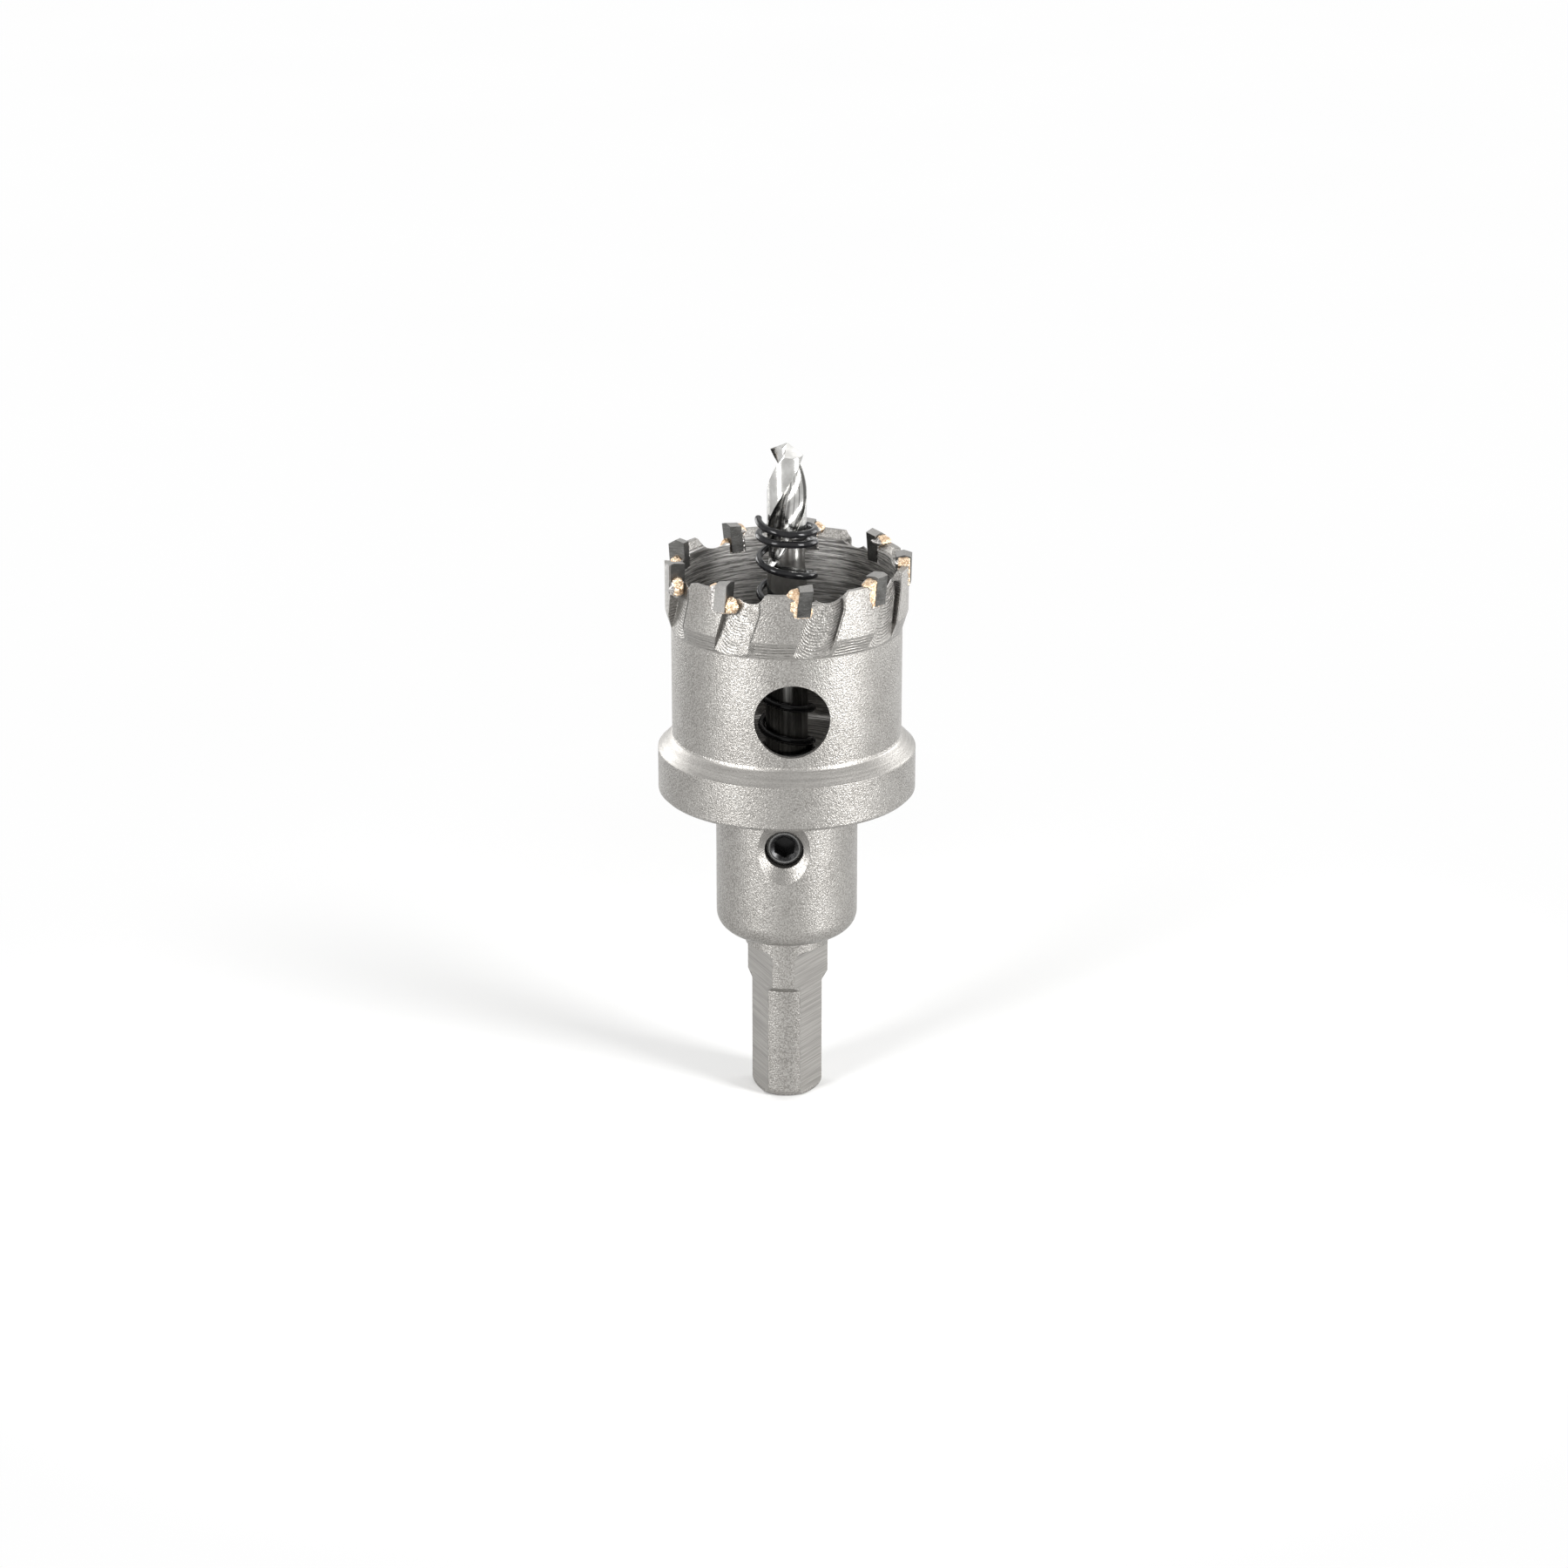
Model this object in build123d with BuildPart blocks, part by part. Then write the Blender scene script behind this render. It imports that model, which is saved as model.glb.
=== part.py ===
from build123d import *
import math
import os

os.makedirs("parts", exist_ok=True)

# Cutting ring
cut_radius = 19.0
cut_clearance = 0.5
ring_radius = cut_radius - cut_clearance
ring_wall = 1.85
bore_radius = ring_radius - ring_wall
tooth_count = 9
tooth_pitch = 360 / tooth_count
first_tooth = 13.8
land_height = 86.7
land_inner_radius = ring_radius - 0.95
land_bevel_radius = bore_radius + 0.3
land_bevel_height = land_height - 0.9
groove_depth = 0.12
ring_length = 7.3
ring_bottom = land_height - ring_length

# Cup wall, stop flange and hub
cup_relief = 0.9
cup_radius = ring_radius - cup_relief
cup_top = ring_bottom - 2.9
cup_floor = 55.8
floor_fillet = 1.2
flange_reach = 0.8
flange_radius = cut_radius + flange_reach
flange_top = 57.1
flange_bottom = 50.15
flange_edge = 0.5
flange_root = 0.8
hub_radius = 10.95
hub_bottom = 27.1
hub_round = 3.1

# Three sided shank
shank_radius = 5.5
shank_top = 18.05
shank_round = 1.2
neck_radius = 6.5
flat_distance = 4.6
flat_top = 23.45
flat_runout = 1.5
flat_count = 3
strip_angle = -2.4

# Window halfway up the cup wall
window_angle = 5.2
window_height = (flange_top + cup_top) / 2
window_radius = 5.7

# Gullets and the milled channels below them
gullet_radius = 3.2
gullet_rise = 1.26
gullet_offset = 2.95
channel_floor_distance = bore_radius + 0.55
channel_floor_height = land_height - 6.1
channel_floor_slope = 0.12
channel_width = 5.55
channel_middle = 1.4
channel_middle_rise = 0.5
channel_lean = 0.315
channel_right_limit = 5.02
channel_shoulder = 3.2
channel_below = 8.0
channel_above = 7.0

# Carbide tips
tip_width = 2.0
tip_thickness = 2.55
tip_length = 3.2
tip_bottom = land_height - tip_length
tip_lean = 0.105
tip_face_height = land_height - 1.2
tip_side_relief = 0.25
tip_lower_relief = 0.12
tip_top_relief = 0.26
seat_front = 0.3

# Braze between tip and seat, run out by a different amount before each tip
braze_gap = 0.35
braze_film = 0.15
braze_over = 0.12
braze_back_reach = 1.25
braze_back_rise = 0.85
braze_side_reach = 1.62
braze_side_rise = 0.22
braze_front_reach = 1.35
braze_front_bulge = 0.68
braze_front_lift = 0.6
braze_front = (0.60, 0.65, 0.70, 0.60, 0.80, 0.95, 1.00, 1.20, 1.10)

# Pilot drill
drill_radius = 3.0
drill_shank_radius = 3.25
drill_end = 34.5
drill_point = land_height + 18.3
drill_step = drill_point - 31.0
drill_point_angle = 130
drill_relief = 17
drill_lead = 31.0
drill_leading_edge = 74.0
flute_distance = 3.0
flute_radius = 2.4
flute_opening = 110
flute_runout_start = drill_point - 15.0
flute_runout_end = drill_point - 19.4
flute_runout_reach = 2.9
notch_slope = 53
notch_turn = 49
notch_wall = 0.12
drill_clearance = 0.05

# Set screw
screw_height = 43.4
screw_hole_radius = 3.0
screw_clearance = 0.03
screw_length = 6.0
screw_flat_depth = 0.5
screw_flat_length = 8.0
screw_chamfer = 0.55
screw_key_width = 3.0
screw_key_depth = 2.6
screw_sink_radius = 5.3
screw_sink_angle = 120

# Ejector spring
wire_radius = 0.55
spring_top_radius = 4.28
spring_bottom_radius = 3.86
spring_turns = 8.75
spring_closed_turns = 2.29
spring_closed_rise = 2.5
spring_landing = 1.3
spring_close_pitch = 1.55
spring_top = land_height + 6.5
spring_rest = cup_floor + wire_radius
spring_open_rise = spring_top - spring_rest - spring_closed_rise
spring_open_pitch = spring_open_rise / (spring_turns - spring_closed_turns)


def radial(angle):
    """Unit vector pointing away from the axis, measured from the front."""
    turn = math.radians(angle)
    return Vector(math.sin(turn), -math.cos(turn), 0)


def tangent(angle):
    """Unit vector along the ring, towards rising angles."""
    turn = math.radians(angle)
    return Vector(math.cos(turn), math.sin(turn), 0)


def section_plane(angle, shift=0.0):
    """Plane through the axis: x runs outwards and y runs up."""
    start = tangent(angle) * shift
    return Plane(origin=start, x_dir=radial(angle), z_dir=tangent(angle) * -1)


def facing_plane(angle, distance):
    """Plane square to a radius: x runs along the ring and y runs up."""
    return Plane(origin=radial(angle) * distance, x_dir=tangent(angle), z_dir=radial(angle))


def face_offset(height):
    """Position of the cutting face along the ring at a height."""
    return (height - tip_face_height) * tip_lean


def tooth_point(offset, distance, height):
    """Point of the first tooth in its own square frame."""
    spot = tangent(first_tooth) * offset + radial(first_tooth) * distance
    return Vector(spot.X, spot.Y, height)


def make_tip(outer_height, ridge_height, ridge_distance, inner_height):
    """One tip, ground with its own roof."""
    top = ridge_height + 1
    inner = cut_radius - tip_thickness
    with BuildPart() as tip:
        with BuildSketch(facing_plane(first_tooth, inner)):
            Polygon(
                (face_offset(tip_bottom), tip_bottom),
                (face_offset(top), top),
                (face_offset(top) - tip_width, top),
                (face_offset(tip_bottom) - tip_width, tip_bottom),
                align=None,
            )
        extrude(amount=tip_thickness)
        fall = Vector(0, 0, 1) * -tip_top_relief
        back = tangent(first_tooth) * -tip_width + fall
        edge = tooth_point(face_offset(outer_height), cut_radius, outer_height)
        ridge = tooth_point(face_offset(ridge_height), ridge_distance, ridge_height)
        inside = tooth_point(face_offset(inner_height), inner, inner_height)
        outer_bevel = Plane(origin=ridge, x_dir=edge - ridge, z_dir=back.cross(ridge - edge) * -1)
        inner_bevel = Plane(origin=ridge, x_dir=inside - ridge, z_dir=back.cross(inside - ridge) * -1)
        split(bisect_by=outer_bevel, keep=Keep.BOTTOM)
        split(bisect_by=inner_bevel, keep=Keep.BOTTOM)
        corner = tooth_point(face_offset(ridge_height), cut_radius, ridge_height)
        drop = tooth_point(face_offset(tip_bottom), cut_radius - tip_lower_relief, tip_bottom) - corner
        swing = tangent(first_tooth) * -tip_width + radial(first_tooth) * -tip_side_relief
        flank = Plane(origin=corner, x_dir=drop, z_dir=drop.cross(swing) * -1)
        split(bisect_by=flank, keep=Keep.BOTTOM)
    return tip.part


# Turned body with shank, hub, flange and cup
with BuildPart() as body:
    with BuildSketch(section_plane(0)):
        with BuildLine():
            shank_end = Line((0, 0), (shank_radius - shank_round, 0))
            shank_corner = RadiusArc(
                (shank_radius - shank_round, 0), (shank_radius, shank_round), -shank_round
            )
            step = neck_radius - shank_radius
            Polyline(
                (shank_radius, shank_round),
                (shank_radius, shank_top),
                (neck_radius, shank_top + step),
                (neck_radius, hub_bottom),
                (hub_radius - hub_round, hub_bottom),
            )
            RadiusArc(
                (hub_radius - hub_round, hub_bottom), (hub_radius, hub_bottom + hub_round), -hub_round
            )
            cone_top = flange_top + flange_radius - cup_radius
            root_run = flange_root * math.tan(math.radians(22.5))
            root_low = root_run * math.sin(math.radians(45))
            Polyline(
                (hub_radius, hub_bottom + hub_round),
                (hub_radius, flange_bottom),
                (flange_radius - flange_edge, flange_bottom),
                (flange_radius, flange_bottom + flange_edge),
                (flange_radius, flange_top),
                (cup_radius + root_low, cone_top - root_low),
            )
            RadiusArc(
                (cup_radius + root_low, cone_top - root_low), (cup_radius, cone_top + root_run), flange_root
            )
            Polyline(
                (cup_radius, cone_top + root_run),
                (cup_radius, cup_top),
                (ring_radius, ring_bottom),
                (ring_radius, land_height),
                (land_inner_radius, land_height),
                (land_bevel_radius, land_bevel_height),
                (land_bevel_radius, land_bevel_height - groove_depth),
                (bore_radius, land_bevel_height - groove_depth - 0.2),
                (bore_radius, cup_floor + floor_fillet),
            )
            RadiusArc(
                (bore_radius, cup_floor + floor_fillet), (bore_radius - floor_fillet, cup_floor), floor_fillet
            )
            pilot_bore = drill_shank_radius + drill_clearance
            Polyline(
                (bore_radius - floor_fillet, cup_floor),
                (pilot_bore, cup_floor),
                (pilot_bore, drill_end),
                (0, drill_end),
                (0, 0),
            )
        make_face()
    revolve(axis=Axis.Z)

    # Flats along shank and neck
    for side in range(flat_count):
        flat_angle = strip_angle + 60 + side * 120
        with BuildSketch(section_plane(flat_angle)):
            with BuildLine():
                Polyline(
                    (flat_distance + flat_runout, flat_top + flat_runout),
                    (flat_distance + flat_runout + 2, flat_top + flat_runout),
                    (flat_distance + flat_runout + 2, -1),
                    (flat_distance, -1),
                    (flat_distance, flat_top),
                )
                RadiusArc(
                    (flat_distance, flat_top),
                    (flat_distance + flat_runout, flat_top + flat_runout),
                    flat_runout,
                )
            make_face()
        extrude(amount=neck_radius, both=True, mode=Mode.SUBTRACT)

    # Round window
    with BuildSketch(facing_plane(window_angle, 8)):
        with Locations((0, window_height)):
            Circle(window_radius)
    extrude(amount=14, mode=Mode.SUBTRACT)

    # Set screw hole with its countersink
    with BuildSketch(facing_plane(0, 2)):
        with Locations((0, screw_height)):
            Circle(screw_hole_radius)
    extrude(amount=hub_radius, mode=Mode.SUBTRACT)
    sink_depth = (screw_sink_radius - screw_hole_radius) / math.tan(math.radians(screw_sink_angle / 2))
    with BuildSketch(section_plane(0)):
        with BuildLine():
            spread = screw_sink_radius + 1 * math.tan(math.radians(screw_sink_angle / 2))
            Polyline(
                (hub_radius - sink_depth, screw_height),
                (hub_radius - sink_depth, screw_height + screw_hole_radius),
                (hub_radius + 1, screw_height + spread),
                (hub_radius + 1, screw_height),
                close=True,
            )
        make_face()
    screw_axis = Axis((0, 0, screw_height), (0, -1, 0))
    revolve(axis=screw_axis, mode=Mode.SUBTRACT)

    # Gullets, channels and tip seats
    for index in range(tooth_count):
        angle = first_tooth + index * tooth_pitch
        with BuildSketch(facing_plane(angle, 12)):
            with Locations((gullet_offset, land_height + gullet_rise)):
                Circle(gullet_radius)
        extrude(amount=10, mode=Mode.SUBTRACT)
        tilt = radial(angle) + Vector(0, 0, channel_floor_slope)
        base = radial(angle) * channel_floor_distance
        floor = Plane(
            origin=(base.X, base.Y, channel_floor_height), x_dir=tangent(angle), z_dir=tilt
        )
        low = -channel_below
        high = channel_above
        left_low = channel_middle - channel_width / 2 + (low - channel_middle_rise) * channel_lean
        right_low = left_low + channel_width
        with BuildSketch(floor):
            Polygon(
                (left_low, low),
                (face_offset(tip_face_height), tip_face_height - channel_floor_height),
                (face_offset(channel_floor_height + high), high),
                (gullet_offset, high),
                (channel_right_limit, land_bevel_height - channel_floor_height),
                (channel_right_limit, channel_shoulder),
                (right_low, low),
                align=None,
            )
        extrude(amount=4, mode=Mode.SUBTRACT)
        with BuildSketch(facing_plane(angle, 14)):
            seat_top = land_height + 2
            seat_bottom = tip_bottom - braze_film
            Polygon(
                (face_offset(seat_bottom) + seat_front, seat_bottom),
                (face_offset(seat_top) + seat_front, seat_top),
                (face_offset(seat_top) - tip_width - braze_gap, seat_top),
                (face_offset(seat_bottom) - tip_width - braze_gap, seat_bottom),
                align=None,
            )
        extrude(amount=8, mode=Mode.SUBTRACT)

body.part.label = "body"
export_step(body.part, "parts/body.step")

# Three grinds repeat around the ring
tip_kinds = [
    make_tip(land_height + 0.80, land_height + 1.55, cut_radius - 1.2, land_height + 1.15),
    make_tip(land_height + 1.25, land_height + 1.55, cut_radius - 0.8, land_height + 1.35),
    make_tip(land_height + 1.05, land_height + 1.45, cut_radius - 1.3, land_height + 1.15),
]


def make_blob(centre, axis, reach, rise, tip):
    """Lens trimmed by tip and body: reach is its radius and rise half its thickness."""
    bend = (reach * reach + rise * rise) / (2 * rise)
    with BuildPart() as lens:
        with Locations(centre + axis * (rise - bend)):
            Sphere(bend)
        with Locations(centre - axis * (rise - bend)):
            Sphere(bend, mode=Mode.INTERSECT)
        add(tip, mode=Mode.SUBTRACT)
        add(body.part, mode=Mode.SUBTRACT)
    return lens.part


def make_braze(tip, swell):
    """Braze around one tip: film, mound behind, patch outside and foot in front."""
    up = Vector(0, 0, 1)
    outward = radial(first_tooth)
    back = face_offset(land_height) - tip_width
    middle = cut_radius - tip_thickness / 2
    mound_spot = tooth_point(back, middle, land_height)
    mound_reach = braze_back_reach / swell**0.5
    mound = make_blob(mound_spot, up, mound_reach, braze_back_rise, tip)
    around = math.degrees(back / ring_radius)
    patch_spot = radial(first_tooth + around) * (ring_radius - braze_side_rise / 4)
    patch_spot = patch_spot + up * (tip_bottom + braze_side_reach)
    facing = radial(first_tooth + 1.4 * around)
    patch = make_blob(patch_spot, facing, braze_side_reach, braze_side_rise, tip)
    foot_reach = braze_front_reach * swell
    foot_spot = tooth_point(0, middle, tip_bottom + foot_reach * braze_front_lift)
    foot = make_blob(foot_spot, outward, foot_reach, foot_reach * braze_front_bulge, tip)
    with BuildPart() as braze:
        with BuildSketch(facing_plane(first_tooth, bore_radius)):
            Polygon(
                (face_offset(tip_bottom) + seat_front / 2, tip_bottom),
                (face_offset(tip_bottom) - tip_width, tip_bottom),
                (face_offset(land_height) - tip_width, land_height),
                (face_offset(land_height) - tip_width - braze_gap, land_height),
                (face_offset(seat_bottom) - tip_width - braze_gap, seat_bottom),
                (face_offset(seat_bottom) + seat_front / 2, seat_bottom),
                align=None,
            )
        extrude(amount=ring_wall + braze_over)
        add(mound)
        add(patch)
        add(foot)
    return braze.part


for index in range(tooth_count):
    spin = Rotation(0, 0, index * tooth_pitch)
    tip_shape = tip_kinds[index % 3]
    tip_copy = spin * tip_shape
    tip_copy.label = f"carbide_tip_{index + 1}"
    export_step(tip_copy, f"parts/{tip_copy.label}.step")
    braze_copy = spin * Part(make_braze(tip_shape, braze_front[index]).wrapped)
    braze_copy.label = f"braze_{index + 1}"
    export_step(braze_copy, f"parts/{braze_copy.label}.step")

# Pilot drill with stepped shank and two helical flutes
point_rise = drill_radius / math.tan(math.radians(drill_point_angle / 2))
with BuildPart() as pilot_drill:
    with BuildSketch(section_plane(0)):
        with BuildLine():
            step = drill_shank_radius - drill_radius
            Polyline(
                (0, drill_end),
                (drill_shank_radius - 0.4, drill_end),
                (drill_shank_radius, drill_end + 0.4),
                (drill_shank_radius, drill_step),
                (drill_radius, drill_step + 2 * step),
                (drill_radius, drill_point),
                (0, drill_point),
                (0, drill_end),
            )
        make_face()
    revolve(axis=Axis.Z)
    for flute in range(2):
        path_points = []
        for count in range(61):
            height = drill_point + 3 - count * (drill_point + 3 - flute_runout_end) / 60
            fall = max(0, flute_runout_start - height) / (flute_runout_start - flute_runout_end)
            distance = flute_distance + flute_runout_reach * fall * fall
            open_angle = drill_leading_edge + flute_opening / 2 + flute * 180
            turn = open_angle + 360 * (height - drill_point) / drill_lead
            spot = radial(turn) * distance
            path_points.append(Vector(spot.X, spot.Y, height))
        with BuildLine() as flute_path:
            Spline(*path_points)
        start = flute_path.line @ 0
        heading = flute_path.line % 0
        with BuildSketch(Plane(origin=start, z_dir=heading)):
            Circle(flute_radius)
        sweep(path=flute_path.line, is_frenet=True, mode=Mode.SUBTRACT)
    for side in range(2):
        lip = drill_leading_edge - 360 * point_rise / drill_lead + side * 180
        outer = radial(lip) * drill_radius
        slope = Vector(outer.X, outer.Y, -point_rise)
        relief = tangent(lip) * -1 + Vector(0, 0, -math.tan(math.radians(drill_relief)))
        grind = Plane(origin=(0, 0, drill_point), x_dir=slope, z_dir=slope.cross(relief) * -1)
        split(bisect_by=grind, keep=Keep.BOTTOM)
        downhill = radial(lip + 180 + notch_turn)
        run = math.tan(math.radians(notch_slope))
        wall = radial(lip + 180)
        along = wall - Vector(0, 0, run * wall.dot(downhill))
        notch = Plane(
            origin=(0, 0, drill_point), x_dir=along, z_dir=downhill * run + Vector(0, 0, 1)
        )
        with BuildSketch(notch):
            with Locations((0, notch_wall)):
                Rectangle(20, 12, align=(Align.CENTER, Align.MIN))
        extrude(amount=8, dir=(0, 0, 1), mode=Mode.SUBTRACT)
    flat_at = drill_shank_radius - screw_flat_depth
    with BuildSketch(facing_plane(0, flat_at)):
        with Locations((0, screw_height)):
            Rectangle(2 * drill_shank_radius, screw_flat_length)
    extrude(amount=2, mode=Mode.SUBTRACT)

pilot_drill.part.label = "pilot_drill"
export_step(pilot_drill.part, "parts/pilot_drill.step")

# Set screw with hexagon socket, its end on the flat of the drill
with BuildPart() as set_screw:
    screw_radius = screw_hole_radius - screw_clearance
    with BuildSketch(section_plane(0)):
        with BuildLine():
            start = flat_at
            finish = flat_at + screw_length
            Polyline(
                (start, screw_height),
                (start, screw_height + screw_radius - 2 * screw_chamfer),
                (start + screw_chamfer, screw_height + screw_radius),
                (finish - screw_chamfer, screw_height + screw_radius),
                (finish, screw_height + screw_radius - screw_chamfer),
                (finish, screw_height),
                close=True,
            )
        make_face()
    revolve(axis=screw_axis)
    with BuildSketch(facing_plane(0, finish - screw_key_depth)):
        with Locations((0, screw_height)):
            RegularPolygon(screw_key_width / 2, 6, major_radius=False, rotation=30)
    extrude(amount=screw_key_depth + 1, mode=Mode.SUBTRACT)
    with BuildSketch(section_plane(0)):
        with BuildLine():
            mouth = screw_key_width / 2 + 0.6
            Polyline(
                (finish - 0.5, screw_height),
                (finish - 0.5, screw_height + screw_key_width / 2),
                (finish + 0.5, screw_height + mouth + 0.6),
                (finish + 0.5, screw_height),
                close=True,
            )
        make_face()
    revolve(axis=screw_axis, mode=Mode.SUBTRACT)

set_screw.part.label = "set_screw"
export_step(set_screw.part, "parts/set_screw.step")


def ease(value):
    """Smooth step from 0 to 1."""
    value = min(1, max(0, value))
    return value * value * (3 - 2 * value)


# Ejector spring: left hand wire, closed at both ends and narrower below
with BuildPart() as ejector_spring:
    steps_per_turn = 16
    steps = int(spring_turns * steps_per_turn)
    height = spring_top
    wire_points = []
    for count in range(steps + 1):
        turns = count / steps_per_turn
        lift = 1 - ease((turns - 0.05) / 0.3)
        opening = ease((turns - 1.15) / 0.5)
        pitch = spring_close_pitch + (spring_open_pitch - spring_close_pitch) * max(lift, opening)
        share = min(1, max(0, (spring_top - height) / (spring_top - spring_rest)))
        coil_radius = spring_top_radius + (spring_bottom_radius - spring_top_radius) * share
        spot = radial(turns * 360 - 90) * coil_radius
        wire_points.append(Vector(spot.X, spot.Y, height))
        landing = min(1, 0.12 + (height - spring_rest) / spring_landing)
        height = max(spring_rest, height - pitch / steps_per_turn * landing)
    with BuildLine() as wire_path:
        Spline(*wire_points)
    with BuildSketch(Plane(origin=wire_path.line @ 0, z_dir=wire_path.line % 0)):
        Circle(wire_radius)
    sweep(path=wire_path.line, is_frenet=True)

ejector_spring.part.label = "ejector_spring"
export_step(ejector_spring.part, "parts/ejector_spring.step")
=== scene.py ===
import math

import bmesh
import bpy
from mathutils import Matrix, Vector, noise


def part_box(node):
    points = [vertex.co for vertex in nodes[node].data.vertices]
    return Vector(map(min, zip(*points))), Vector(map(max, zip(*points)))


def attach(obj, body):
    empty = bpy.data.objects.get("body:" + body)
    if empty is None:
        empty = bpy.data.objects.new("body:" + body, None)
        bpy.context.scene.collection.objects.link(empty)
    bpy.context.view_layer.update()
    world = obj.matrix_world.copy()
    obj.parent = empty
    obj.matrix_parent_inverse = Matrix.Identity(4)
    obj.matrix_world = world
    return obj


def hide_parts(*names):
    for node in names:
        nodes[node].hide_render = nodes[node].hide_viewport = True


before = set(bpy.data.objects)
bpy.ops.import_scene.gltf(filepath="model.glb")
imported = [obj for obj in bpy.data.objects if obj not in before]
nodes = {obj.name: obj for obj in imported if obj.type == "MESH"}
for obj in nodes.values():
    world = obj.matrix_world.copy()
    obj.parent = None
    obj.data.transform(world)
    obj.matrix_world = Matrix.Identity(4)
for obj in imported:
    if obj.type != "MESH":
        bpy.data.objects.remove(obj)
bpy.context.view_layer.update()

MM = 0.001

# Teeth, channels and screw, as in the part's source
TOOTH_COUNT = 9
TOOTH_PITCH = math.radians(40)
FIRST_TOOTH = math.radians(13.8)
RING_RADIUS = 18.5 * MM
LAND_HEIGHT = 86.7 * MM
TIP_BOTTOM = 83.5 * MM
GULLET_RADIUS = 3.2 * MM
GULLET_OFFSET = 2.95 * MM
GULLET_HEIGHT = LAND_HEIGHT + 1.26 * MM
CHANNEL_LEAN = 0.315
CHANNEL_RIGHT = 5.02 * MM
CHANNEL_RADIUS = 17.6 * MM
FLUTE_LEAD = 31 * MM
SCREW_HEIGHT = 43.4 * MM

# Soft limits between the finishes, each from its start to its end
BORE_LIMIT = (16.80 * MM, 16.72 * MM)
CUP_FLOOR_LIMIT = (55.0 * MM, 55.15 * MM)
STOP_CONE = (57.15 * MM, 59.3 * MM)
RING_CONE = (76.55 * MM, 79.35 * MM)
CONE_LIMIT = (17.5 * MM, 17.56 * MM)
FLATS = (0.6 * MM, 24.6 * MM)
FLATS_STEP = (18.6 * MM, 19.0 * MM)
FLATS_REACH = (5.44 * MM, 6.44 * MM)
SINK_LIMIT = (5.3 * MM, 5.2 * MM)
HUB_LIMIT = (10.94 * MM, 10.90 * MM)
SINK_FRONT = (-4.0 * MM, -5.0 * MM)
CHANNEL_DEPTH = (16.95 * MM, 18.42 * MM)
CHANNEL_SPAN = (76.8 * MM, 86.3 * MM)
BORE_SHADE = (62 * MM, 84 * MM)

# Milled arcs on the channel floors, and the painted shadow line along their right walls
ARC_PITCH = 0.46 * MM
ARC_WANDER = 0.45 * MM
ARC_START = 3.0 * MM
WALL_HEIGHT = 81.1 * MM
WALL_OFFSET = 4.17 * MM
WALL_SHADOW_WIDTH = (0.05 * MM, 0.2 * MM)
WALL_SHADOW_SPAN = (79.2 * MM, 85.6 * MM)
WALL_SHADOW_DEPTH = (16.95 * MM, 17.05 * MM)

# The front-left side of the ring, where the tips' outer faces get a painted highlight and the
# braze is blasted grey
HIGHLIGHT_AND_BLAST_FROM = math.radians(-100)
TIP_HIGHLIGHT_TO = math.radians(-25)
WORN_BRAZE_TO = math.radians(-29)
HIGHLIGHT_AND_BLAST_SOFT = 0.02
TIP_OUTSIDE = (18.62 * MM, 18.72 * MM)
BRAZE_OUTSIDE = (18.45 * MM, 18.55 * MM)
BRAZE_INSIDE = (17.0 * MM, 16.8 * MM)
BRAZE_COVERED = (TIP_BOTTOM + 0.05 * MM, TIP_BOTTOM - 0.25 * MM)

# Drill and set screw
FLUTED_LENGTH = (72.0 * MM, 78.0 * MM)
FLUTE_LIMIT = (2.94 * MM, 2.86 * MM)
POINT_LIMIT = (102.4 * MM, 101.6 * MM)
SOCKET_DEPTH = (0.15 * MM, 0.6 * MM)
SOCKET_LIMIT = (2.1 * MM, 2.0 * MM)
SCREW_RIM_HIGHLIGHT = (2.25 * MM, 2.75 * MM)


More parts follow.
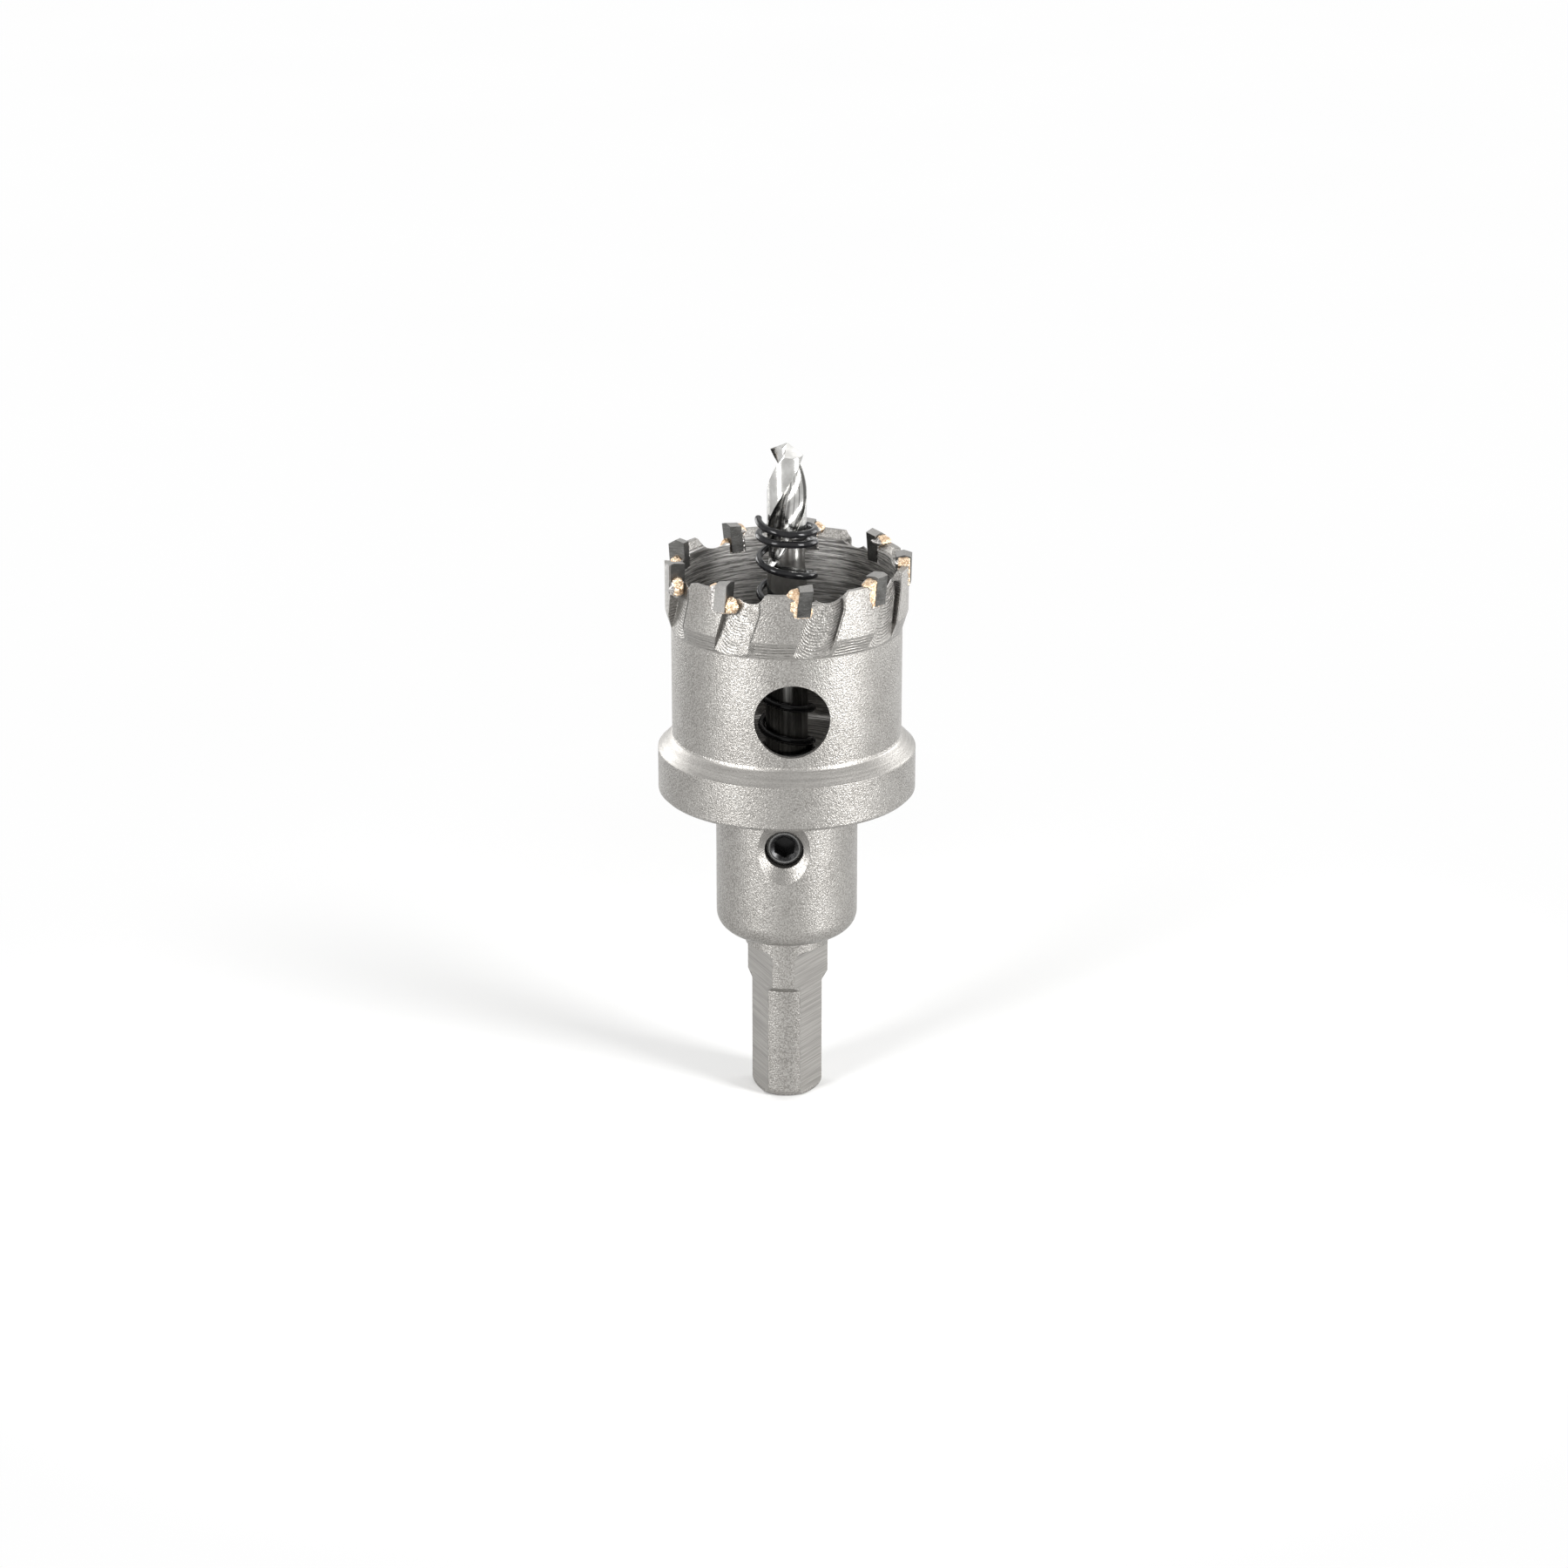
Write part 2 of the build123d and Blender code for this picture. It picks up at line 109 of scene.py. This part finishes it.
class Tree:
    """Node tree of one material, with short calls for the nodes used here."""

    def __init__(self, name):
        self.material = bpy.data.materials.new(name)
        self.material.use_nodes = True
        self.tree = self.material.node_tree
        self.tree.nodes.clear()
        self.output = self.tree.nodes.new("ShaderNodeOutputMaterial")
        self.shader = self.tree.nodes.new("ShaderNodeBsdfPrincipled")
        self.tree.links.new(self.shader.outputs[0], self.output.inputs[0])
        self.place = self.tree.nodes.new("ShaderNodeTexCoord").outputs["Object"]
        self.x, self.y, self.z = self.split(self.place)
        self.face = self.tree.nodes.new("ShaderNodeNewGeometry").outputs["Normal"]

    def put(self, socket, value):
        """Link a socket or set a number or colour."""
        if isinstance(value, bpy.types.NodeSocket):
            self.tree.links.new(value, socket)
        elif isinstance(value, (tuple, list)) and len(value) == 3 and socket.type == "RGBA":
            socket.default_value = (*value, 1)
        else:
            socket.default_value = value

    def split(self, vector):
        node = self.tree.nodes.new("ShaderNodeSeparateXYZ")
        self.put(node.inputs[0], vector)
        return node.outputs

    def vector(self, x, y, z):
        node = self.tree.nodes.new("ShaderNodeCombineXYZ")
        for socket, value in zip(node.inputs, (x, y, z)):
            self.put(socket, value)
        return node.outputs[0]

    def math(self, kind, *values):
        node = self.tree.nodes.new("ShaderNodeMath")
        node.operation = kind
        for socket, value in zip(node.inputs, values):
            self.put(socket, value)
        return node.outputs[0]

    def add(self, first, second):
        return self.math("ADD", first, second)

    def sub(self, first, second):
        return self.math("SUBTRACT", first, second)

    def mul(self, first, second):
        return self.math("MULTIPLY", first, second)

    def most(self, first, second):
        return self.math("MAXIMUM", first, second)

    def absolute(self, value):
        return self.math("ABSOLUTE", value)

    def reach(self, first, second):
        """Length of the two values as sides of a right angle."""
        return self.math("SQRT", self.add(self.mul(first, first), self.mul(second, second)))

    def radius(self):
        """Distance from the part's axis."""
        return self.reach(self.x, self.y)

    def from_screw(self):
        """Distance from the set screw's axis."""
        return self.reach(self.x, self.sub(self.z, SCREW_HEIGHT))

    def angle(self):
        """Angle about the part's axis, 0 in front and growing to the right."""
        return self.math("ARCTAN2", self.x, self.mul(self.y, -1.0))

    def ramp(self, value, start, end, low=0.0, high=1.0):
        """low before start, high past end and smooth between."""
        node = self.tree.nodes.new("ShaderNodeMapRange")
        node.interpolation_type = "SMOOTHSTEP"
        for socket, number in zip(node.inputs, (value, start, end, low, high)):
            self.put(socket, number)
        return node.outputs[0]

    def band(self, value, start, end, soft):
        """1 between start and end, 0 outside."""
        rising = self.ramp(value, start - soft, start + soft)
        falling = self.ramp(value, end - soft, end + soft, 1.0, 0.0)
        return self.mul(rising, falling)

    def noise(self, place, scale=1.0, detail=3.0, rough=0.55, distortion=0.0):
        node = self.tree.nodes.new("ShaderNodeTexNoise")
        self.put(node.inputs["Vector"], place)
        for name, value in (
            ("Scale", scale),
            ("Detail", detail),
            ("Roughness", rough),
            ("Distortion", distortion),
        ):
            self.put(node.inputs[name], value)
        return node.outputs[0]

    def lines(self, across, upward, detail, rough, distortion=0.0):
        """Noise drawn out to lines: level ones where upward is the larger, else upright."""
        place = self.vector(
            self.mul(self.x, across), self.mul(self.y, across), self.mul(self.z, upward)
        )
        return self.noise(place, 1.0, detail, rough, distortion)

    def mix(self, share, first, second):
        """Blend of two colours."""
        node = self.tree.nodes.new("ShaderNodeMix")
        node.data_type = "RGBA"
        for index, value in ((0, share), (6, first), (7, second)):
            self.put(node.inputs[index], value)
        return node.outputs[2]

    def blend(self, share, first, second):
        """Blend of two numbers."""
        node = self.tree.nodes.new("ShaderNodeMix")
        node.data_type = "FLOAT"
        for index, value in ((0, share), (2, first), (3, second)):
            self.put(node.inputs[index], value)
        return node.outputs[0]

    def bump(self, height, distance, edge=None):
        """Bumps over the face, or over edges softened to the radius edge."""
        node = self.tree.nodes.new("ShaderNodeBump")
        self.put(node.inputs["Strength"], 1.0)
        self.put(node.inputs["Distance"], distance)
        self.put(node.inputs["Height"], height)
        if edge is not None:
            bevel = self.tree.nodes.new("ShaderNodeBevel")
            bevel.samples = 4
            self.put(bevel.inputs["Radius"], edge)
            self.put(node.inputs["Normal"], bevel.outputs[0])
        return node.outputs[0]

    def finish(self, color, metallic, roughness, normal=None, **extra):
        self.put(self.shader.inputs["Base Color"], color)
        self.put(self.shader.inputs["Metallic"], metallic)
        self.put(self.shader.inputs["Roughness"], roughness)
        if normal is not None:
            self.put(self.shader.inputs["Normal"], normal)
        for name, value in extra.items():
            self.put(self.shader.inputs[name.replace("_", " ")], value)
        return self.material


def cone_mask(t, radius):
    """The stop flange's cone and the ring's cone."""
    cones = t.most(t.band(t.z, *STOP_CONE, 0.05 * MM), t.band(t.z, *RING_CONE, 0.05 * MM))
    return t.mul(cones, t.ramp(radius, *CONE_LIMIT))


def flat_mask(t, radius):
    """The three ground flats of the shank and neck, which lie inside the round."""
    limit = t.ramp(t.z, *FLATS_STEP, *FLATS_REACH)
    return t.mul(t.ramp(t.sub(limit, radius), 0.0, 0.06 * MM), t.band(t.z, *FLATS, 0.2 * MM))


def sink_mask(t, radius):
    """The set screw's countersink."""
    sink = t.mul(t.ramp(t.from_screw(), *SINK_LIMIT), t.ramp(radius, *HUB_LIMIT))
    return t.mul(sink, t.ramp(t.y, *SINK_FRONT))


def channel_marks(t, radius, steep):
    """Channel floors, the milled arcs on them and a painted shadow line along their right walls.
    """
    turn = t.math("DIVIDE", t.sub(t.angle(), FIRST_TOOTH - TOOTH_PITCH / 2), TOOTH_PITCH)
    local = t.mul(t.sub(t.math("FRACT", turn), 0.5), TOOTH_PITCH)
    across = t.mul(local, CHANNEL_RADIUS)

    # The arcs are copies of the gullet's, one below another
    below = t.sub(GULLET_HEIGHT - ARC_START, t.z)
    side = t.add(t.sub(across, GULLET_OFFSET), t.mul(below, CHANNEL_LEAN))
    rest = t.sub(GULLET_RADIUS * GULLET_RADIUS, t.mul(side, side))
    sag = t.math("SQRT", t.most(rest, 0.0))
    wander = t.noise(t.place, scale=420, detail=2.0, rough=0.5)
    wander = t.mul(t.sub(wander, 0.5), ARC_WANDER)
    level = t.add(t.add(t.z, sag), wander)
    arcs = t.math("SINE", t.mul(level, 2 * math.pi / ARC_PITCH))
    gaps = t.noise(t.place, scale=900, detail=2.0, rough=0.6)
    arcs = t.mul(t.ramp(arcs, -0.9, 0.9), t.ramp(gaps, 0.3, 0.62))

    floor = t.mul(
        t.band(radius, *CHANNEL_DEPTH, 0.05 * MM), t.band(t.z, *CHANNEL_SPAN, 0.2 * MM)
    )
    floor = t.mul(floor, steep)

    # Painted shadow: a dark line along each channel's right wall
    wall = t.add(t.mul(t.sub(t.z, WALL_HEIGHT), CHANNEL_LEAN), WALL_OFFSET)
    wall = t.math("MINIMUM", wall, CHANNEL_RIGHT)
    wall_shadow = t.ramp(t.absolute(t.sub(across, wall)), *WALL_SHADOW_WIDTH, 1.0, 0.0)
    wall_shadow = t.mul(wall_shadow, t.band(t.z, *WALL_SHADOW_SPAN, 0.3 * MM))
    wall_shadow = t.mul(wall_shadow, t.ramp(radius, *WALL_SHADOW_DEPTH))
    return floor, arcs, wall_shadow


def body_material():
    """Fine blasted steel, with turned cones, milled channels and a dark turned bore; painted shade
    deeper in the cup, in the countersink and along the channels' right walls.
    """
    t = Tree("blasted_steel")
    radius = t.radius()
    tilt = t.absolute(t.split(t.face)[2])

    inside = t.mul(t.ramp(radius, *BORE_LIMIT), t.ramp(t.z, *CUP_FLOOR_LIMIT))
    cones = cone_mask(t, radius)
    sink = sink_mask(t, radius)
    smooth = t.most(t.most(t.mul(cones, 0.6), flat_mask(t, radius)), t.mul(sink, 0.35))
    floor, arcs, wall_shadow = channel_marks(t, radius, t.ramp(tilt, 0.5, 0.3))

    # Blasted face
    grain = t.noise(t.place, scale=4300, detail=1.5, rough=0.55)
    specks = t.noise(t.place, scale=8000, detail=1.0, rough=0.5)
    clouds = t.noise(t.place, scale=160, detail=3.0, rough=0.5)
    blast = t.ramp(t.add(t.mul(grain, 0.75), t.mul(specks, 0.25)), 0.36, 0.64)
    steel = t.mix(t.ramp(clouds, 0.35, 0.65), (0.255, 0.244, 0.228), (0.295, 0.284, 0.267))
    pits = t.mix(0.70, (0.03, 0.028, 0.026), steel)
    peaks = t.mix(0.16, steel, (0.95, 0.93, 0.90))
    blasted = t.mix(blast, pits, peaks)

    # Turned and ground faces
    turned = t.lines(90, 5200, detail=3.0, rough=0.6)
    plain = t.mix(t.ramp(turned, 0.3, 0.7), (0.255, 0.246, 0.233), (0.375, 0.362, 0.343))

    # Inside of the cup: streaks on the wall, rings on the floor
    rings = t.vector(t.mul(radius, 5200), t.mul(t.x, 60), t.mul(t.y, 60))
    rings = t.noise(rings, detail=3.0, rough=0.45)
    level = t.ramp(tilt, 0.5, 0.8)
    streaks = t.blend(level, t.lines(240, 4200, 3.0, 0.7, 0.5), rings)
    long_streaks = t.blend(level, t.lines(70, 2300, 2.0, 0.6, 0.8), rings)
    scratch = t.ramp(t.add(t.mul(streaks, 0.6), t.mul(long_streaks, 0.4)), 0.42, 0.66)
    # Painted shade: the bright streaks thin out deeper down the cup
    shade = t.ramp(t.z, *BORE_SHADE, 0.55, 1.0)
    dark = t.mix(t.mul(scratch, shade), (0.15, 0.145, 0.138), (0.98, 0.96, 0.93))

    color = t.mix(smooth, blasted, plain)
    color = t.mix(inside, color, dark)
    color = t.mix(t.mul(floor, t.add(t.mul(arcs, 0.35), 0.1)), color, (0.12, 0.116, 0.108))
    # Painted shadow line along the channels' right walls
    color = t.mix(t.mul(wall_shadow, 0.8), color, (0.05, 0.048, 0.045))
    # Painted shade in the countersink
    color = t.mix(t.mul(sink, 0.3), color, (0.1, 0.096, 0.09))

    rough = t.blend(smooth, t.ramp(blast, 0.0, 1.0, 0.46, 0.36), 0.40)
    rough = t.blend(inside, rough, t.ramp(scratch, 0.0, 1.0, 0.50, 0.34))

    grains = t.add(grain, t.mul(specks, 0.3))
    height = t.mul(t.sub(1.0, t.most(smooth, inside)), grains)
    height = t.add(height, t.mul(t.mul(cones, turned), 0.3))
    height = t.add(height, t.mul(t.mul(inside, streaks), 0.5))
    height = t.add(height, t.mul(t.mul(floor, arcs), 0.8))
    return t.finish(color, 1.0, rough, t.bump(height, 0.075 * MM, edge=0.10 * MM))


def carbide_material():
    """Dark sintered tip with fine grinding lines, and a painted highlight on its top faces and on
    its outer faces on the front-left of the ring.
    """
    t = Tree("ground_carbide")
    lines = t.lines(900, 7000, detail=2.0, rough=0.6)
    cloud = t.noise(t.place, scale=500, detail=3.0, rough=0.55)
    speck = t.noise(t.place, scale=5200, detail=2.0, rough=0.6)
    color = t.mix(t.ramp(cloud, 0.3, 0.7), (0.065, 0.064, 0.061), (0.10, 0.099, 0.095))
    color = t.mix(t.ramp(lines, 0.45, 0.75), color, (0.135, 0.134, 0.13))
    color = t.mix(t.ramp(speck, 0.6, 0.75, 0.0, 0.5), color, (0.3, 0.3, 0.29))
    # Painted highlight: faces turned up, and the outer faces on the front-left of the ring, are
    # paler
    above = t.ramp(t.split(t.face)[2], 0.55, 0.8)
    highlight_and_blast = t.band(t.angle(), HIGHLIGHT_AND_BLAST_FROM, TIP_HIGHLIGHT_TO, HIGHLIGHT_AND_BLAST_SOFT)
    highlight_and_blast = t.mul(highlight_and_blast, t.ramp(t.radius(), *TIP_OUTSIDE))
    highlight_color = t.mix(speck, (0.16, 0.157, 0.15), (0.42, 0.41, 0.395))
    color = t.mix(t.mul(t.most(above, highlight_and_blast), 0.85), color, highlight_color)
    normal = t.bump(t.add(lines, t.mul(speck, 0.6)), 0.016 * MM, edge=0.07 * MM)
    return t.finish(color, 1.0, t.ramp(cloud, 0.2, 0.8, 0.38, 0.50), normal)


def braze_material():
    """Copper coloured braze, rough and sparkling, grey where the blast has covered it."""
    t = Tree("braze_metal")
    cloud = t.noise(t.place, scale=1300, detail=3.0, rough=0.65)
    flecks = t.noise(t.place, scale=4800, detail=2.0, rough=0.6)
    grain = t.noise(t.place, scale=2900, detail=1.5, rough=0.55)
    gold = t.mix(t.ramp(cloud, 0.36, 0.64), (0.50, 0.34, 0.21), (0.76, 0.60, 0.43))
    gold = t.mix(t.ramp(flecks, 0.56, 0.70), gold, (0.88, 0.79, 0.67))
    gold = t.mix(t.ramp(flecks, 0.44, 0.34), gold, (0.30, 0.20, 0.13))
    steel = t.mix(t.ramp(grain, 0.36, 0.64), (0.22, 0.21, 0.2), (0.58, 0.56, 0.54))
    radius = t.radius()
    shift = t.mul(t.sub(cloud, 0.5), 1.2 * MM)
    covered = t.ramp(t.add(t.z, shift), *BRAZE_COVERED)
    inner = t.ramp(radius, *BRAZE_INSIDE)
    highlight_and_blast = t.band(t.angle(), HIGHLIGHT_AND_BLAST_FROM, WORN_BRAZE_TO, HIGHLIGHT_AND_BLAST_SOFT)
    highlight_and_blast = t.mul(highlight_and_blast, t.ramp(radius, *BRAZE_OUTSIDE))
    color = t.mix(t.most(t.most(covered, inner), highlight_and_blast), gold, steel)
    rough = t.ramp(flecks, 0.3, 0.7, 0.30, 0.50)
    return t.finish(color, 1.0, rough, t.bump(t.add(cloud, t.mul(flecks, 0.5)), 0.16 * MM))


def drill_material():
    """Bright ground steel with painted shade in sweeps along the flutes, duller on the plain
    shank, which also carries painted shade inside the cup.
    """
    t = Tree("bright_steel")
    radius = t.radius()
    lines = t.lines(300, 6500, detail=3.0, rough=0.6)
    upright = t.lines(2600, 60, detail=3.0, rough=0.6)
    stain = t.noise(t.place, scale=350, detail=3.0, rough=0.6)
    fluted = t.ramp(t.z, *FLUTED_LENGTH)
    turn = t.sub(t.angle(), t.mul(t.z, 2 * math.pi / FLUTE_LEAD))
    helix = t.vector(t.math("SINE", turn), t.math("COSINE", turn), t.mul(radius, 900))
    flute_shade_sweep = t.noise(helix, scale=2.6, detail=2.0, rough=0.6)
    # Painted shade: dark helical sweeps in the flutes
    in_flute = t.mul(t.ramp(radius, *FLUTE_LIMIT), t.ramp(t.z, *POINT_LIMIT))
    bright = t.mix(t.ramp(stain, 0.35, 0.7), (0.42, 0.415, 0.40), (0.58, 0.575, 0.56))
    bright = t.mix(t.mul(in_flute, t.ramp(flute_shade_sweep, 0.44, 0.58)), bright, (0.13, 0.128, 0.123))
    # The plain shank sits inside the cup: a duller finish, its darker colour painted shade
    dull_and_shaded = t.mix(t.ramp(upright, 0.35, 0.65), (0.12, 0.118, 0.113), (0.28, 0.276, 0.266))
    color = t.mix(fluted, dull_and_shaded, bright)
    normal = t.bump(t.blend(fluted, upright, lines), 0.012 * MM, edge=0.03 * MM)
    rough = t.blend(fluted, 0.28, t.ramp(lines, 0.3, 0.7, 0.14, 0.24))
    return t.finish(color, 1.0, rough, normal)


def spring_material():
    """Black oiled wire."""
    t = Tree("black_wire")
    cloud = t.noise(t.place, scale=900, detail=3.0, rough=0.6)
    color = t.mix(t.ramp(cloud, 0.35, 0.7), (0.008, 0.008, 0.009), (0.016, 0.016, 0.017))
    rough = t.ramp(cloud, 0.3, 0.7, 0.10, 0.16)
    return t.finish(color, 0.0, rough, t.bump(cloud, 0.004 * MM), Specular_IOR_Level=0.25)


def screw_material():
    """Black oxide, with a painted highlight on the rim and painted shade in the socket."""
    t = Tree("black_oxide")
    cloud = t.noise(t.place, scale=1600, detail=3.0, rough=0.6)
    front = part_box("set_screw")[0][1]
    away = t.from_screw()
    # Painted shade: near black inside the socket
    deep = t.ramp(t.y, front + SOCKET_DEPTH[0], front + SOCKET_DEPTH[1])
    socket = t.mul(deep, t.ramp(away, *SOCKET_LIMIT))
    # Painted highlight: a brighter ring on the chamfered rim
    rim_highlight = t.band(away, *SCREW_RIM_HIGHLIGHT, 0.1 * MM)
    color = t.mix(t.ramp(cloud, 0.35, 0.7), (0.02, 0.02, 0.021), (0.05, 0.05, 0.05))
    color = t.mix(t.mul(rim_highlight, 0.8), color, (0.20, 0.20, 0.195))
    color = t.mix(socket, color, (0.004, 0.004, 0.004))
    normal = t.bump(cloud, 0.012 * MM, edge=0.06 * MM)
    return t.finish(color, 0.6, t.ramp(cloud, 0.3, 0.7, 0.20, 0.32), normal)


def dress(name, material):
    mesh = nodes[name].data
    mesh.materials.clear()
    mesh.materials.append(material)


carbide = carbide_material()
braze = braze_material()
dress("body", body_material())
dress("pilot_drill", drill_material())
dress("ejector_spring", spring_material())
dress("set_screw", screw_material())
for index in range(1, TOOTH_COUNT + 1):
    dress(f"carbide_tip_{index}", carbide)
    dress(f"braze_{index}", braze)


# Braze as it ran: the same masses, melted together and lumpy
VOXEL = 0.075 * MM
SMOOTHINGS = 5
SWELL_MM = 0.07
LARGE_LUMPS_MM = (1500, 0.16)
SMALL_LUMPS_MM = (3600, 0.09)
BEHIND = -0.2 * MM
BRAZE_REACH = RING_RADIUS + 0.17 * MM
THIN_FRONTS = 4
THIN_FRONT = 0.35


def in_mesh(node):
    """The node's shape as one even mesh in the part's space."""
    mesh = nodes[node].data.copy()
    mesh.transform(nodes[node].matrix_world)
    rough = bpy.data.objects.new(f"{node}_even", mesh)
    bpy.context.scene.collection.objects.link(rough)
    step = rough.modifiers.new("even", "REMESH")
    step.mode = "VOXEL"
    step.voxel_size = VOXEL
    graph = bpy.context.evaluated_depsgraph_get()
    result = bpy.data.meshes.new_from_object(rough.evaluated_get(graph))
    bpy.data.objects.remove(rough)
    return result


def lumps(spot, scale, amount):
    """How far lumps of one scale raise the surface at a spot, in millimetres."""
    return noise.noise(spot * scale) * amount


def run_braze(index, front):
    """front scales what stands before the cutting face."""
    mesh = in_mesh(f"braze_{index}")
    turn = FIRST_TOOTH + (index - 1) * TOOTH_PITCH
    along = Vector((math.cos(turn), math.sin(turn), 0))
    shape = bmesh.new()
    shape.from_mesh(mesh)
    for _ in range(SMOOTHINGS):
        bmesh.ops.smooth_vert(
            shape, verts=shape.verts, factor=0.5, use_axis_x=True, use_axis_y=True, use_axis_z=True
        )
    shape.normal_update()
    for vert in shape.verts:
        spot = vert.co.copy()
        swell = lumps(spot, *LARGE_LUMPS_MM) + lumps(spot, *SMALL_LUMPS_MM) + SWELL_MM
        spot = spot + vert.normal * swell * MM
        ahead = spot.dot(along)
        if ahead > 0:
            spot = spot - along * ahead * (1 - front)
        flat = Vector((spot.x, spot.y, 0))
        if ahead < BEHIND and flat.length > BRAZE_REACH:
            spot = spot - flat * (1 - BRAZE_REACH / flat.length)
        vert.co = spot
    shape.to_mesh(mesh)
    shape.free()
    mesh.polygons.foreach_set("use_smooth", [True] * len(mesh.polygons))
    mesh.materials.clear()
    mesh.materials.append(braze)
    piece = bpy.data.objects.new(f"braze_run_{index}", mesh)
    bpy.context.scene.collection.objects.link(piece)
    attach(piece, "root")
    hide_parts(f"braze_{index}")


for index in range(1, TOOTH_COUNT + 1):
    run_braze(index, THIN_FRONT if index <= THIN_FRONTS else 1.0)


def seen_straight(tree):
    """1 for what the camera sees itself, in gloss or through glass, else 0."""
    rays = tree.nodes.new("ShaderNodeLightPath")
    straight = rays.outputs["Is Camera Ray"]
    for kind in ("Is Glossy Ray", "Is Transmission Ray"):
        join = tree.nodes.new("ShaderNodeMath")
        join.operation = "MAXIMUM"
        tree.links.new(straight, join.inputs[0])
        tree.links.new(rays.outputs[kind], join.inputs[1])
        straight = join.outputs[0]
    return straight


# Floor
FLOOR_SIZE = 3.0
FLOOR_FADE = (0.05, 0.16)
floor_mesh = bpy.data.meshes.new("floor")
shape = bmesh.new()
bmesh.ops.create_grid(shape, x_segments=1, y_segments=1, size=FLOOR_SIZE)
shape.to_mesh(floor_mesh)
shape.free()
floor = bpy.data.objects.new("floor", floor_mesh)
bpy.context.scene.collection.objects.link(floor)
t = Tree("pale_floor")
tone = t.noise(t.place, scale=9, detail=3.0, rough=0.5)
floor_color = t.mix(tone, (0.80, 0.80, 0.795), (0.83, 0.83, 0.825))
floor_mesh.materials.append(t.finish(floor_color, 0.0, 0.75))

# Away from the object's shadow it turns into the white background
glow = t.tree.nodes.new("ShaderNodeEmission")
t.put(glow.inputs["Color"], t.mix(tone, (0.985, 0.985, 0.985), (1, 1, 1)))
fade = t.tree.nodes.new("ShaderNodeMixShader")
away = t.ramp(t.radius(), *FLOOR_FADE)
t.put(fade.inputs[0], t.mul(away, seen_straight(t.tree)))
t.put(fade.inputs[1], t.shader.outputs[0])
t.put(fade.inputs[2], glow.outputs[0])
t.put(t.output.inputs[0], fade.outputs[0])


def background(net, strength):
    node = net.nodes.new("ShaderNodeBackground")
    node.inputs["Color"].default_value = (1, 1, 1, 1)
    node.inputs["Strength"].default_value = strength
    return node.outputs[0]


# White beyond the floor, for what sees it straight, in gloss or through glass
FILL_LIGHT = 0.25
WHITE = 1.0
world = bpy.data.worlds.new("studio")
bpy.context.scene.world = world
world.use_nodes = True
net = world.node_tree
net.nodes.clear()
world_out = net.nodes.new("ShaderNodeOutputWorld")
choose = net.nodes.new("ShaderNodeMixShader")
net.links.new(seen_straight(net), choose.inputs[0])
net.links.new(background(net, FILL_LIGHT), choose.inputs[1])
net.links.new(background(net, WHITE), choose.inputs[2])
net.links.new(choose.outputs[0], world_out.inputs[0])


def lamp(name, place, target, width, height, power):
    data = bpy.data.lights.new(name, "AREA")
    data.shape = "RECTANGLE"
    data.size = width
    data.size_y = height
    data.energy = power
    thing = bpy.data.objects.new(name, data)
    thing.location = place
    thing.rotation_euler = (Vector(target) - Vector(place)).to_track_quat("-Z", "Y").to_euler()
    bpy.context.scene.collection.objects.link(thing)


MIDDLE = (0, 0, 0.05)
lamp("left_strip", (-0.215, -0.235, 0.13), MIDDLE, 0.10, 0.24, 1.15)
lamp("right_strip", (0.275, -0.165, 0.13), MIDDLE, 0.10, 0.24, 1.55)
lamp("left_rim", (-0.25, 0.20, 0.12), MIDDLE, 0.16, 0.22, 0.5)
lamp("right_rim", (0.27, 0.18, 0.12), MIDDLE, 0.16, 0.22, 0.5)
lamp("top_box", (0.0, 0.35, 0.62), (0, 0.06, 0), 0.5, 0.5, 0.7)

# Camera, as fitted to the photograph
IMAGE_WIDTH = 1800
CAMERA_SHIFT = -3.2
CAMERA_TURN = math.radians(2.5)
CAMERA_REACH = 567.866 * MM
CAMERA_HEIGHT = 259.545 * MM
CAMERA_PITCH = 0.35253
camera_data = bpy.data.cameras.new("camera")
camera_data.lens = 90
camera_data.sensor_width = 36
camera_data.shift_x = CAMERA_SHIFT / IMAGE_WIDTH
camera_data.clip_start = 0.01
camera_data.clip_end = 20
camera = bpy.data.objects.new("camera", camera_data)
camera.location = (
    CAMERA_REACH * math.sin(CAMERA_TURN),
    -CAMERA_REACH * math.cos(CAMERA_TURN),
    CAMERA_HEIGHT,
)
camera.rotation_euler = (math.pi / 2 - CAMERA_PITCH, 0, CAMERA_TURN)
bpy.context.scene.collection.objects.link(camera)
bpy.context.scene.camera = camera
bpy.context.scene.view_settings.view_transform = "Standard"
